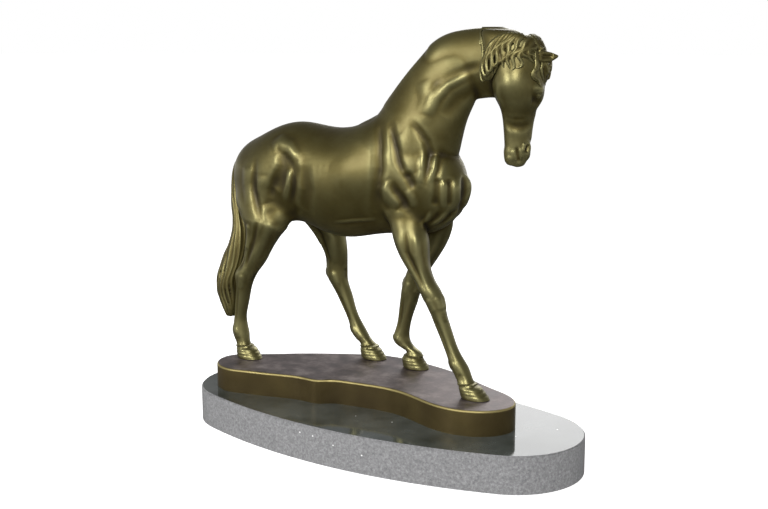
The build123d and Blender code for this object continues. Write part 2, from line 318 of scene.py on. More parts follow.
# %% Grooves and ridges of the shoulder, chest and flank
model(horse, [
    ([(-6, 308), (0, 290), (3, 270), (1, 248), (-5, 226)], 10, -1.8),
    ([(-5, 306), (1, 289), (4, 270), (2, 250)], 4, -0.7),
    ([(9, 308), (17, 292), (22, 276), (28, 266), (33, 261)], 6.9, -1.6),
    ([(11, 302), (20, 282), (27, 267)], 3.2, -0.5),
    ([(33, 262), (36, 257)], 7.5, -1.8),
    ([(14, 256), (21, 247), (27, 240), (31, 231)], 6.9, -1.6),
    ([(31, 250), (36, 243), (38, 234)], 6.6, 1.3),
    ([(31, 313), (40, 305), (47, 295), (50, 284), (51, 272), (50, 258)], 5.8, -1.4),
    ([(45, 288), (46, 272), (45, 257)], 5.5, 1.3),
    ([(54, 284), (56, 272), (54, 258)], 4, 1.4),
    ([(59, 288), (60, 272), (58, 258)], 4.5, -0.9),
    ([(53, 346), (60, 350), (70, 356), (80, 361), (94, 365)], 6.2, -1),
    ([(50, 322), (57, 336), (66, 347), (82, 356)], 5, 0.7),
    ([(-101, 277), (-96, 260), (-97, 243), (-106, 224)], 8.8, -1.8),
    ([(-99, 268), (-96, 250), (-101, 233)], 3.8, -0.6),
    ([(-118, 262), (-122, 246), (-128, 232)], 6.2, -0.8),
    ([(-147, 268), (-146, 252), (-146, 238), (-140, 221), (-134, 208)], 6.2, -1.3),
    ([(-126, 216), (-120, 206)], 7.5, -1),
    ([(-96, 226), (-104, 218), (-112, 211)], 6.2, -1),
    ([(66, 7, 256), (66, 7, 238)], 5.5, 2),
    ([(60, 4, 258), (58, 4, 240)], 5.6, -1.6),
    ([(69, 12, 258), (68, 12, 240)], 5.6, -1.5),
    ([(66, 53, 256), (66, 53, 238)], 5.5, 2),
    ([(60, 56, 258), (58, 56, 240)], 5.6, -1.6),
    ([(69, 48, 258), (68, 48, 240)], 5.6, -1.5),
    ([(78, 30, 268), (77, 30, 250), (72, 30, 228)], 8.1, -2.2),
    ([(42, 5, 216), (48, 7, 223), (53, 5, 230)], 3.5, 1.7),
    ([(49, 13, 216), (58, 14, 222), (65, 15, 231)], 3.5, 1.7),
    ([(60, 22, 218), (66, 27, 225), (72, 26, 233)], 3.5, 1.5),
    ([(46, 9, 215), (54, 10, 222), (60, 10, 231)], 4, -1.2),
    ([(55, 18, 215), (63, 20, 222), (69, 20, 231)], 4, -1.2),
    ([(49, 47, 216), (58, 46, 222), (65, 45, 231)], 3.5, 1.7),
    ([(42, 55, 216), (48, 53, 223), (53, 55, 230)], 3.5, 1.7),
    ([(46, 51, 215), (54, 50, 222), (60, 50, 231)], 4, -1.2),
])
apply_modifier(horse, "SMOOTH", factor=0.5, iterations=3)
model(horse, [([(-52, 213), (-33, 216), (-8, 219)], 2.4, 1.0)], facing=(0, -1, 0))

# %% [markdown]
# ## Legs
# A horse's leg is bone and tendon under thin skin: two or three long muscles above the knee or hock, a
# square knee, a pointed hock, a cannon bone with a groove in front of the tendon, a round fetlock with a
# tuft behind it, and the hoof. The strokes are placed by height and by where they lie around the leg, so
# one list serves both front legs and another both hind legs.

# %% Centre lines of the legs: height, x, y, half length, half width
LEG_LINES = {
    "front_right_leg": [(206, 29.5, 6, 17.5, 15), (184, 36.5, 4, 13.5, 12.5), (166, 47, 3, 10, 10),
                        (143, 60, 3, 9, 9), (116, 72, 3, 6.6, 6.8), (98, 81, 2, 7, 7),
                        (88, 86.5, 2, 8.8, 8.2), (79, 92, 1, 8, 7.2), (70, 98.5, 0, 10.5, 10),
                        (60, 106, 0, 14.5, 11.5)],
    "front_left_leg": [(206, 28, 54, 18, 15), (184, 20, 56, 14.5, 12.5), (158, 6, 57, 11, 10.5),
                       (146, 1, 57, 10.5, 10), (112, -7, 57, 7, 7), (100, -10, 57, 7.2, 7),
                       (91, -12, 57, 8.6, 8.2), (81, -5, 57.5, 8, 7.2), (71, 0, 58, 10.5, 10),
                       (60, 5.5, 58.5, 14.5, 11.5)],
    "hind_right_leg": [(204, -140, 1, 27, 17), (189, -145, 0, 18.5, 14), (163, -156, -1, 13, 10.5),
                       (142, -168, -2, 10, 9), (129, -170, -2, 7.6, 7.8), (112, -173, -2, 6.5, 6.8),
                       (98, -175, -2, 7, 7), (90, -175, -2, 8.6, 8.2), (79, -172, -3, 7.8, 7.2),
                       (70, -167.5, -3, 10.5, 10), (60, -161.5, -3.5, 14.5, 11.5)],
    "hind_left_leg": [(214, -124, 56, 28, 18), (199, -111, 60, 21.5, 15), (184, -103, 62, 17, 13),
                      (158, -97, 64, 12, 10), (139, -95, 64, 10.5, 9.5), (128, -89.5, 65, 8.5, 8.2),
                      (112, -82, 65, 6.6, 6.8), (96, -75, 66, 7, 7), (87, -70.5, 66, 8.6, 8.2),
                      (79, -64, 66, 7.8, 7.2), (71, -57, 66, 10.5, 10), (60, -51, 66, 14.5, 11.5)],
}


def on_leg(name, height, forward, left):
    """A place on a leg: forward and left are shares of its half length and half width there."""
    line = np.array(sorted(LEG_LINES[name]))
    x, y, half_length, half_width = (np.interp(height, line[:, 0], line[:, k]) for k in range(1, 5))
    return (x + forward * half_length, y + left * half_width, height)


def leg_strokes(name, plan):
    """Strokes for one leg; a stroke with no side is drawn on both sides."""
    strokes = []
    for places, width, height in plan:
        for side in (-1, 1):
            line = [on_leg(name, h, forward, side * out) for h, forward, out in places]
            strokes.append((line, width, height if any(out for _, _, out in places) else height / 2))
    return strokes


# %% Front and hind legs
FRONT_PLAN = [
    ([(210, 0.75, 0.7), (190, 0.7, 0.75), (164, 0.6, 0.8)], 5.5, 1.4),
    ([(214, 0.2, 1), (192, 0.15, 1), (160, 0.2, 1)], 3.6, -1.5),
    ([(206, -0.3, 0.95), (186, -0.3, 0.95), (164, -0.2, 1)], 4.6, 1.0),
    ([(204, -0.75, 0.7), (184, -0.75, 0.7), (160, -0.6, 0.8)], 3.4, -1.2),
    ([(149, 0.9, 0.4), (143, 0.9, 0.4)], 5.5, 1.1),
    ([(147, 0, 1), (140, 0, 1)], 4.5, 0.8),
    ([(151, -0.95, 0), (147, -0.95, 0)], 5, 1.8),
    ([(134, 0.9, 0.3), (131, 0.9, 0.3)], 4, -0.7),
    ([(134, -0.2, 1), (116, -0.25, 1), (97, -0.25, 1)], 2.8, -1.1),
    ([(132, -0.8, 0.5), (116, -0.8, 0.5), (98, -0.8, 0.5)], 2.8, 0.6),
    ([(90, -0.9, 0), (86, -1, 0)], 5, 1.7),
    ([(90, 0, 1), (88, 0, 1)], 4, 0.6),
    ([(82, -0.9, 0), (78, -0.8, 0)], 4, -1.4),
    ([(80, 0, 1), (76, 0, 1)], 4.5, -0.6),
]
HIND_PLAN = [
    ([(206, 0.6, 0.8), (186, 0.6, 0.8), (164, 0.4, 0.9)], 6.5, 1.4),
    ([(208, 0.05, 1), (188, 0, 1), (160, -0.1, 1)], 4, -1.5),
    ([(200, -0.45, 0.9), (180, -0.45, 0.9)], 5, 1.2),
    ([(190, -0.72, 0.7), (170, -0.66, 0.75), (156, -0.55, 0.8)], 4, -1.9),
    ([(152, -1, 0), (146, -1.1, 0), (141, -1, 0)], 5, 2.6),
    ([(146, 0.1, 1), (138, 0.2, 1)], 5, 1.0),
    ([(150, 0.95, 0), (144, 0.95, 0)], 4.5, -0.9),
    ([(132, -0.2, 1), (114, -0.25, 1), (97, -0.25, 1)], 2.8, -1.1),
    ([(134, -0.8, 0.5), (116, -0.8, 0.5), (98, -0.8, 0.5)], 2.8, 0.6),
    ([(90, -0.9, 0), (86, -1, 0)], 5, 1.7),
    ([(89, 0, 1), (87, 0, 1)], 4, 0.6),
    ([(81, -0.9, 0), (77, -0.8, 0)], 4, -1.4),
    ([(79, 0, 1), (76, 0, 1)], 4.5, -0.6),
]
model(horse, [s for n in LEGS for s in leg_strokes(n, FRONT_PLAN if "front" in n else HIND_PLAN)])

# %% [markdown]
# The hooves stand proud of the skin at the coronet and carry the rings that a hoof grows. Both depend only
# on the height above the ground, so one profile over the height makes them on all four hooves.

# %% Hooves
CORONET_LINES = [
    [(90, 73), (120, 73)],
    [(-12, 73), (20, 73)],
    [(-178, 73), (-146, 73)],
    [(-68, 73), (-36, 73)],
]
for coronet_line in CORONET_LINES:
    rub(horse, coronet_line, 6, 10)
HOOF_HEIGHT = 13.0
HOOF_REACH = 22
FLARE, FLARE_FADE = 1.5, 8
CREASE, CREASE_WIDTH = -0.5, 0.9
RING_DEPTH, RING_SPACING = 0.17, 3.1
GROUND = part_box("ground_plinth")[1].z / MM
CORONET = GROUND + HOOF_HEIGHT
points, normals = skin(horse)
height = points[:, 2]
rise = height - GROUND
flare = FLARE * np.clip((CORONET + FLARE_FADE - height) / FLARE_FADE, 0, 1) * (height > CORONET - 1)
crease = CREASE * np.exp(-(((height - CORONET - 0.6) / CREASE_WIDTH) ** 2))
rings = RING_DEPTH * np.cos(rise * 2 * pi / RING_SPACING) * np.clip((CORONET - 1.5 - height) / 2, 0, 1)
level = np.hypot(normals[:, 0], normals[:, 1])
low = (rise < HOOF_REACH) & (level > 0.35)
out = np.where(low, flare + crease + rings * np.clip(rise / 2, 0, 1), 0) * np.clip(rise, 0, 1)
set_skin(horse, points + normals * out[:, None])
print("hoof points:", int(low.sum()))

# %% [markdown]
# ## The head
# The head hangs straight down and is turned to the horse's left. Its places are given in its own
# directions: forward, left and height, from the axis through the jaw. The cheek is a round plate with a
# crisp lower edge; below it the nose narrows to the nostril and the lips. The eye lies under a heavy brow.

# %% Places on the head
HEAD_AXIS = (130, 38)
HEAD_TURN = radians(38)


def on_head(forward, left, height):
    """A place given in the head's own directions."""
    return (HEAD_AXIS[0] + forward * cos(HEAD_TURN) - left * sin(HEAD_TURN),
            HEAD_AXIS[1] + forward * sin(HEAD_TURN) + left * cos(HEAD_TURN), height)


def both_cheeks(plan):
    """Strokes on the head, each drawn on both of its sides."""
    return [([on_head(f, side * l, h) for f, l, h in places], width, height)
            for places, width, height in plan for side in (-1, 1)]


# %% Broad masses of the head
model(horse, both_cheeks([
    ([(-12, 19, 348), (-9, 18, 336)], 18, 2.2),
    ([(-20, 8, 315), (-14, 12, 312), (-4, 14, 311), (7, 12, 313)], 7.5, -1.9),
    ([(-17, 4, 287), (-17, 3, 280)], 8, 1.1),
    ([(-6, 6, 277), (-2, 5, 278)], 6, 1.6),
    ([(10, 15, 326), (8, 13, 310)], 7, -1.4),
    ([(9, 0, 320), (7, 0, 302)], 8, 0.8),
    ([(2, 6, 293), (3, 5, 285)], 7, 1.1),
    ([(-12, 5, 282), (-12, 5, 279)], 5, 1.2),
    ([(3, 18, 346), (10, 15.5, 345), (15, 11, 343)], 6.5, 1.9),
    ([(8, 16, 334), (12, 13, 332)], 5.5, -1.6),
    ([(-14, 12, 356), (-22, 8, 348), (-24, 7, 338), (-21, 8, 328)], 6, 1.2),
]))

# %% Fine forms of the head
model(horse, both_cheeks([
    ([(-21, 8, 320), (-15, 13, 317.5), (-7, 15, 317), (2, 15, 317.5), (8, 13, 320)], 4.4, -2.2),
    ([(5, 18, 340), (6, 17, 330), (4, 16, 322)], 4, -1.0),
    ([(10, 15.5, 338.5), (11, 14.5, 338)], 2.6, 1.5),
    ([(6.5, 17, 342), (10, 16, 342.5), (14, 12.5, 340.5)], 2.2, 1.0),
    ([(6.5, 17, 335.5), (10.5, 15, 334.5), (13.5, 12, 336)], 2.2, -1.0),
    ([(8, 15, 328), (8, 13, 314), (7, 10, 303)], 3.5, 0.8),
    ([(2.5, 8, 293), (1.5, 9, 290)], 3.0, -2.8),
    ([(4.6, 6.5, 296), (5.4, 6, 292), (4, 7, 288)], 2.6, 0.7),
    ([(-1, 10, 295), (-1.5, 10, 290)], 2.4, 1.0),
    ([(-8, 10.5, 292), (-7, 10, 286), (-5, 9, 279)], 2.3, -1.7),
    ([(-4, 10.5, 290), (-3.5, 10, 284)], 2.8, 0.8),
    ([(-11, 10, 288), (-10, 9, 282)], 3, 0.7),
]))

# %% [markdown]
# ## Hollows and ridges
# Bronze is darkened all over and then rubbed, so grooves stay dark and ridges come up bright. The material
# needs to know which is which: each point is compared with its smoothed surroundings, and how deep it lies
# is stored on the mesh as an attribute that the material reads.

# %% Measure the hollows


def store_hollows(piece, fine=6, broad=40, fine_gain=0.75, broad_gain=0.30):
    """Store how deep each point lies below its surroundings: 0.5 is level, 1 is a deep hollow."""
    points, normals = skin(piece)
    webs = neighbours(piece)
    soft = points.copy()
    depth = np.zeros(len(points))
    for step in range(broad):
        soft = np.column_stack([neighbour_mean(soft[:, k], *webs) for k in range(3)])
        if step + 1 == fine:
            depth += fine_gain * ((soft - points) * normals).sum(1)
    depth += broad_gain * ((soft - points) * normals).sum(1)
    for _ in range(3):
        depth = neighbour_mean(depth, *webs)
    value = np.clip(0.5 + 0.5 * depth, 0, 1)
    layer = piece.data.attributes.get("hollow") or piece.data.attributes.new("hollow", "FLOAT", "POINT")
    layer.data.foreach_set("value", value)
    print(piece.name, "hollow from", round(value.min(), 2), "to", round(value.max(), 2))


store_hollows(horse)

# %% [markdown]
# ## Cutting the wax into castings
# The founder saws the wax where the castings will be welded: below the belly at each leg, across the root
# of the neck and behind the jaw. A bisect with a fill does the same and leaves each part closed.

# %% Cut at the seams


def half(piece, name, place, normal, keep_front):
    """A copy of one side of a cut, closed on the cut."""
    copy = piece.copy()
    copy.data = piece.data.copy()
    bpy.context.scene.collection.objects.link(copy)
    copy.name = copy.data.name = name
    pick(copy)
    bpy.ops.object.mode_set(mode="EDIT")
    bpy.ops.mesh.select_all(action="SELECT")
    bpy.ops.mesh.bisect(plane_co=[v * MM for v in place], plane_no=Vector(normal).normalized(), use_fill=True,
                        clear_inner=keep_front, clear_outer=not keep_front)
    bpy.ops.object.mode_set(mode="OBJECT")
    return copy


SEAM_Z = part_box("torso")[0].z / MM
legs = half(horse, "legs_wax", (0, 0, SEAM_Z), (0, 0, 1), False)
upper = half(horse, "upper_wax", (0, 0, SEAM_Z), (0, 0, 1), True)
POLL_PLACE, POLL_NORMAL = (112, 38, 398), (63, 0, -11)
NECK_PLACE, NECK_NORMAL = (72, 30, 294), (33, 0, 91)
head = half(upper, "head_casting", POLL_PLACE, POLL_NORMAL, True)
trunk = half(upper, "trunk_wax", POLL_PLACE, POLL_NORMAL, False)
neck = half(trunk, "neck_casting", NECK_PLACE, NECK_NORMAL, True)
torso = half(trunk, "torso_casting", NECK_PLACE, NECK_NORMAL, False)
pick(legs)
bpy.ops.mesh.separate(type="LOOSE")
castings = {"head": head, "neck": neck, "torso": torso}
for part in list(bpy.context.selected_objects):
    middle = skin(part)[0].mean(0)
    name = min(LEGS, key=lambda n: np.linalg.norm(np.array(on_leg(n, middle[2], 0, 0)) - middle))
    part.name = part.data.name = name + "_casting"
    castings[name] = part
for name, part in castings.items():
    print(name, "points", len(part.data.vertices), "size, mm", [round(v / MM) for v in part.dimensions])

# %% [markdown]
# ## Hair
# Mane, forelock and tail are laid on as threads of wax. A lock is three thin curves side by side that wave
# together and taper to a point. Each curve is pressed onto the form below it by taking the nearest place
# on that form. Then the locks and the rough CAD hair are fused, and the gaps between the threads stay as
# the grooves of the hair.

# %% Threads of wax
HAIR_VOXEL = 0.6


def surface_of(pieces):
    """A search tree over the faces of these objects."""
    corners, faces = [], []
    for piece in pieces:
        start = len(corners)
        corners += [v.co.copy() for v in piece.data.vertices]
        faces += [[start + i for i in p.vertices] for p in piece.data.polygons]
    return BVHTree.FromPolygons(corners, faces)


def along(line, share):
    """A place on a smooth line through the given places."""
    places = [Vector(p) for p in line]
    at = share * (len(places) - 1)
    k = min(int(at), len(places) - 2)
    t = at - k
    p0, p1 = places[max(k - 1, 0)], places[k]
    p2, p3 = places[k + 1], places[min(k + 2, len(places) - 1)]
    return 0.5 * (2 * p1 + (p2 - p0) * t + (2 * p0 - 5 * p1 + 4 * p2 - p3) * t**2
                  + (3 * p1 - p0 - 3 * p2 + p3) * t**3)


def lock(line, surface, thick=1.3, wave=1.2, waves=2.0, phase=0.0, threads=3, raise_by=0.5, steps=22):
    """The points of one lock's threads: (place, radius) lists in millimetres."""
    made = []
    for thread in range(threads):
        aside = (thread - (threads - 1) / 2) * thick * 1.25
        points = []
        for step in range(steps + 1):
            share = step / steps
            middle = along(line, share)
            ahead = along(line, min(share + 0.03, 1)) - along(line, max(share - 0.03, 0))
            _, normal, _, _ = surface.find_nearest(middle * MM)
            across = ahead.cross(normal).normalized()
            swing = wave * sin(2 * pi * waves * share + phase) * min(1, 3 * share)
            pinch = 1 - 0.75 * share**3
            place = middle + across * (swing + aside * pinch)
            hit, normal, _, _ = surface.find_nearest(place * MM)
            rounded = raise_by + (0.5 * thick if thread == (threads - 1) / 2 else 0)
            taper = min(1, 0.45 + 2.2 * share) * (1 - share**4 * 0.8)
            points.append((hit / MM + normal * rounded * taper, thick * taper))
        made.append(points)
    return made


def wax_threads(name, threads):
    """One mesh of round tapered threads."""
    curve = bpy.data.curves.new(name, "CURVE")
    curve.dimensions = "3D"
    curve.bevel_depth = MM
    curve.bevel_resolution = 2
    curve.use_fill_caps = True
    for thread in threads:
        spline = curve.splines.new("POLY")
        spline.points.add(len(thread) - 1)
        for point, (place, radius) in zip(spline.points, thread):
            point.co = (*(place * MM), 1)
            point.radius = radius
    piece = bpy.data.objects.new(name, curve)
    bpy.context.scene.collection.objects.link(piece)
    pick(piece)
    bpy.ops.object.convert(target="MESH")
    return bpy.context.view_layer.objects.active


def lay_hair(name, node, threads, shrink):
    """Threads fused with the rough CAD hair, which is shrunk so that the threads stand out."""
    hair = join(name, [wax_threads(node + "_threads", threads), wax_copy(node, -shrink)])
    apply_modifier(hair, "REMESH", mode="VOXEL", voxel_size=HAIR_VOXEL * MM, use_smooth_shade=True)
    apply_modifier(hair, "SMOOTH", factor=0.4, iterations=2)
    print(node, "points:", len(hair.data.vertices))
    return hair


# %% [markdown]
# ### Mane
# Wavy locks fall over the right side from the poll to behind the cheek. On the far side the mane hangs
# from the whole crest, from the withers to the poll.

# %% Lay the mane
mane_form = wax_copy("mane")
neck_surface = surface_of([mane_form, neck, head])
RIGHT_LOCKS = [
    [(119, 19, 393), (109, 15, 385), (100, 12, 376), (96, 11, 366), (96.5, 13, 354), (98, 14, 349)],
    [(117, 20, 391), (107, 14, 382), (101, 11, 371), (100, 12, 360), (101, 13, 353)],
    [(120, 20, 393), (111, 14, 383), (106, 11, 372), (104, 11, 361), (104, 12, 356)],
    [(123, 20, 394), (115, 13, 384), (111, 11, 374), (108, 11, 363), (107, 12, 357)],
    [(126, 21, 394), (119, 13, 385), (115, 11, 375), (113, 11, 366), (111, 11, 361)],
    [(129, 22, 394), (123, 14, 385), (119, 12, 376), (118, 11, 368), (116, 12, 363)],
    [(132, 24, 394), (127, 16, 385), (123, 13, 376), (122, 12, 369), (120, 12, 364)],
    [(136, 27, 393), (132, 19, 385), (128, 15, 377), (126, 14, 369), (125, 13, 363)],
    [(140, 31, 390), (136, 23, 384), (132, 18, 376), (130, 16, 368), (128, 15, 361)],
    [(142, 33, 387), (139, 25, 382), (136, 20, 375), (135, 19, 368), (133, 17, 362)],
    [(141, 33, 388), (139, 26, 382), (137, 22, 376), (140, 23, 371), (146, 27, 370)],
    [(144, 35, 384), (142, 28, 380), (141, 25, 375), (144, 27, 372), (149, 31, 372)],
]
CREST = [(-22, 31, 316), (-12, 31, 330), (-2, 31, 344), (9, 32, 358), (21, 33, 371), (33, 34, 382),
         (47, 35, 391), (62, 36, 396), (76, 37, 398), (90, 38, 398), (104, 38, 397), (116, 38, 394)]
threads = []
for k, line in enumerate(RIGHT_LOCKS):
    threads += lock(line, neck_surface, thick=1.15, wave=2.1, waves=1.8, phase=0.9 * k, raise_by=1.1)
CREST_LOCKS = 34
for k in range(CREST_LOCKS):
    start = along(CREST, k / (CREST_LOCKS - 1))
    fall = [start + Vector((1, 10, -4)), start + Vector((0, 13, -7)), start + Vector((-2, 15, -12)),
            start + Vector((-4, 19, -22)), start + Vector((-5, 20, -31 - 3 * (k % 3)))]
    threads += lock(fall, neck_surface, thick=1.5, wave=1.6, waves=1.5, phase=1.3 * k, raise_by=0.5)
mane = lay_hair("mane_locks", "mane", threads, 2.0)

# %% [markdown]
# ### Forelock
# Strands fall from between the ears over the forehead, down to the eye. The longest one on the right is
# twisted and ends just before the brow.

# %% Lay the forelock
forelock_form = wax_copy("forelock")
brow_surface = surface_of([forelock_form, head])
threads = []
for k in range(11):
    left = -15 + 2.7 * k
    side = abs(left) / 15
    line = [on_head(4, left * 0.5, 389), on_head(13 - 3 * side, left * 0.8, 382),
            on_head(21 - 6 * side, left, 371), on_head(22 - 7 * side, left * 1.02, 360),
            on_head(19 - 5 * side, left * 0.8, 351 - 3 * (k % 2))]
    threads += lock(line, brow_surface, thick=1.15, wave=1.3, waves=1.7, phase=0.8 * k, raise_by=0.6)
twisted = [on_head(8, -14, 378), on_head(8, -18, 368), on_head(5, -20, 359), on_head(8, -19, 352),
           on_head(12, -16, 347)]
threads += lock(twisted, brow_surface, thick=1.3, wave=1.2, waves=2.2, raise_by=0.9)
forelock = lay_hair("forelock_strands", "forelock", threads, 0.6)

# %% [markdown]
# ### Tail
# The tail hangs close behind the hock, thin at the dock, fuller and wavy below, and ends in a point.

# %% Lay the tail
TAIL_LINE = [(276, -169, 30, 7, 8), (268, -185, 30, 9, 9), (254, -196, 30, 7.5, 9),
             (231, -198, 28, 6.5, 8), (215, -194.5, 24, 6.5, 8), (194, -188, 18, 7.5, 8),
             (171, -189, 12, 10, 9), (152, -192.5, 8, 12, 10), (138, -195, 4, 11.5, 9),
             (126, -195, 2, 10.5, 8), (112, -192, 1, 8, 7), (101, -191, 1, 4, 4)]
tail_form = wax_copy("tail")
tail_surface = surface_of([tail_form])
threads = []
TAIL_LOCKS = 15
for k in range(TAIL_LOCKS):
    turn = 2 * pi * k / TAIL_LOCKS
    line = []
    for step, (z, x, y, half_length, half_width) in enumerate(TAIL_LINE[1:]):
        angle = turn + 0.09 * step
        line.append((x + half_length * cos(angle), y + half_width * sin(angle), z))
    threads += lock(line, tail_surface, thick=1.25, wave=1.1, waves=3.2, phase=1.1 * k, raise_by=0.3,
                    steps=60)
for k, (z, x, y, back) in enumerate([(165, -198, 6, 5), (158, -200, 8, 6), (150, -202, 2, 5)]):
    line = [(x + 3, y, z + 14), (x, y, z), (x - back * 0.6, y - 1, z - 12), (x - back * 0.2, y - 2, z - 22),
            (x + 2, y - 2, z - 30)]
    threads += lock(line, tail_surface, thick=1.4, wave=0.8, waves=1.5, phase=k, raise_by=1.2)
tail = lay_hair("tail_strands", "tail", threads, 0.8)

# %% [markdown]
# ## Ears
# An ear is a leaf with a hollow on its outer side. The rough ear is rebuilt finely, and one stroke along
# its length presses the hollow in and leaves the rim standing.

# %% Ears


def shape_ear(node, name, outward):
    """The ear with its hollow pressed in on the side that faces outward."""
    ear = join(name, [wax_copy(node)])
    apply_modifier(ear, "REMESH", mode="VOXEL", voxel_size=0.4 * MM, use_smooth_shade=True)
    apply_modifier(ear, "SMOOTH", factor=0.5, iterations=3)
    points, _ = skin(ear)
    far = points @ np.array((cos(HEAD_TURN), sin(HEAD_TURN), 0))
    root = points[far < np.percentile(far, 15)].mean(0)
    tip = points[far > np.percentile(far, 97)].mean(0)
    line = [root + (tip - root) * share + 2 * np.array(outward) for share in (0.1, 0.5, 0.8)]
    model(ear, [(line, 4.2, -2.6)], facing=outward)
    return ear


right_ear = shape_ear("right_ear", "right_ear_leaf", (0.55, -0.8, 0.1))
left_ear = shape_ear("left_ear", "left_ear_leaf", (-0.4, 0.9, 0.1))

# %% [markdown]
# ## Finishing the castings
# All hair and ears get their hollows measured too. Then each casting takes the place of its CAD part and
# rides on the one body of the statue.

# %% Put the castings in place
castings |= {"mane": mane, "forelock": forelock, "tail": tail, "right_ear": right_ear, "left_ear": left_ear}
for name in ("mane", "forelock", "tail", "right_ear", "left_ear"):
    store_hollows(castings[name], fine=4, broad=14, fine_gain=0.9, broad_gain=0.5)
for piece in castings.values():
    points, _ = skin(piece)
    points[:, 2] = np.minimum(points[:, 2], cad_high.z / MM)
    set_skin(piece, points)
for spare in (horse, upper, trunk, mane_form, forelock_form, tail_form):
    bpy.data.objects.remove(spare)
for name, piece in castings.items():
    pick(piece)
    bpy.ops.object.shade_smooth_by_angle(angle=radians(55))
    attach(piece, "root")
    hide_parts(name)
print("castings in place:", sorted(castings))

# %% [markdown]
# ## Felt pads
# Four felt discs keep the stone off the table. Each is a short cylinder with softened edges.

# %% Felt pads
pads = []
pad_low, pad_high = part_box("felt_pads")
PAD_RADIUS = 10 * MM
for x in (pad_low.x + PAD_RADIUS, pad_high.x - PAD_RADIUS):
    for y in (pad_low.y + PAD_RADIUS, pad_high.y - PAD_RADIUS):
        bpy.ops.object.select_all(action="DESELECT")
        bpy.ops.mesh.primitive_cylinder_add(vertices=64, radius=PAD_RADIUS, depth=pad_high.z - pad_low.z,
                                            location=(x, y, (pad_low.z + pad_high.z) / 2))
        pads.append(bpy.context.view_layer.objects.active)
        bpy.ops.object.transform_apply(location=True, rotation=True, scale=True)
felt = join("felt_discs", pads)
apply_modifier(felt, "BEVEL", width=0.25 * MM, segments=3, limit_method="ANGLE")
pick(felt)
bpy.ops.object.transform_apply(location=True, rotation=True, scale=True)
bpy.ops.object.shade_smooth_by_angle(angle=radians(40))
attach(felt, "root")
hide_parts("felt_pads")
print("felt pads:", len(pads))

# %% [markdown]
# ## Materials
# Every finish is worked out from the place on the object, in object coordinates, so it needs no images.
# A small helper adds a node and links it, which keeps each material readable from top to bottom.

# %% Helper for materials


def new_finish(name):
    """An empty material with its shader, and a function that adds nodes to it."""
    material = bpy.data.materials.new(name)
    material.use_nodes = True
    tree = material.node_tree
    shader = tree.nodes["Principled BSDF"]

    def add(kind, inputs=None, **values):
        node = tree.nodes.new("ShaderNode" + kind)
        for key, value in values.items():
            setattr(node, key, value)
        for key, value in (inputs or {}).items():
            if isinstance(value, bpy.types.NodeSocket):
                tree.links.new(value, node.inputs[key])
            else:
                node.inputs[key].default_value = value
        return node

    def link(socket, key):
        tree.links.new(socket, shader.inputs[key])

    return material, shader, add, link


def ramp(add, factor, stops):
    """A colour ramp with these (place, colour) stops."""
    node = add("ValToRGB", {"Fac": factor})
    bar = node.color_ramp
    while len(bar.elements) < len(stops):
        bar.elements.new(0.5)
    for element, (place, colour) in zip(bar.elements, stops):
        element.position = place
        element.color = (*colour, 1)
    return node.outputs["Color"]


# %% [markdown]
# ### Bronze
# The patina is an olive brown, nearly black in the hollows, and rubbed to a pale greenish gold on the
# ridges. Slow noise keeps large areas from looking sprayed, and fine noise is the grain of the casting.

# %% Bronze


def bronze_finish(name, dark, middle, bright):
    """Patinated bronze that reads the hollow attribute."""
    material, shader, add, link = new_finish(name)
    place = add("TexCoord").outputs["Object"]
    slow = add("TexNoise", {"Vector": place, "Scale": 28.0, "Detail": 4.0, "Roughness": 0.6})
    grain = add("TexNoise", {"Vector": place, "Scale": 900.0, "Detail": 3.0, "Roughness": 0.7})
    hollow = add("Attribute", attribute_name="hollow").outputs["Fac"]
    drift = add("Math", {0: slow.outputs["Fac"], 1: 0.22, 2: -0.11}, operation="MULTIPLY_ADD")
    depth = add("Math", {0: hollow, 1: drift.outputs[0]}, operation="ADD")
    colour = ramp(add, depth.outputs[0], [(0.28, bright), (0.50, middle), (0.68, dark[0]), (0.95, dark[1])])
    link(colour, "Base Color")
    rough = add("MapRange", {"Value": depth.outputs[0], "From Min": 0.3, "From Max": 0.8,
                             "To Min": 0.36, "To Max": 0.50})
    link(rough.outputs["Result"], "Roughness")
    bump = add("Bump", {"Strength": 0.12, "Distance": 0.0004, "Height": grain.outputs["Fac"]})
    link(bump.outputs["Normal"], "Normal")
    shader.inputs["Metallic"].default_value = 0.85
    shader.inputs["Coat Weight"].default_value = 0.12
    shader.inputs["Coat Roughness"].default_value = 0.3
    return material


bronze = bronze_finish("olive_bronze", ((0.046, 0.036, 0.013), (0.018, 0.014, 0.012)),
                       (0.094, 0.076, 0.021), (0.200, 0.182, 0.076))
for piece in castings.values():
    piece.data.materials.clear()
    piece.data.materials.append(bronze)
print("bronze on", len(castings), "castings")
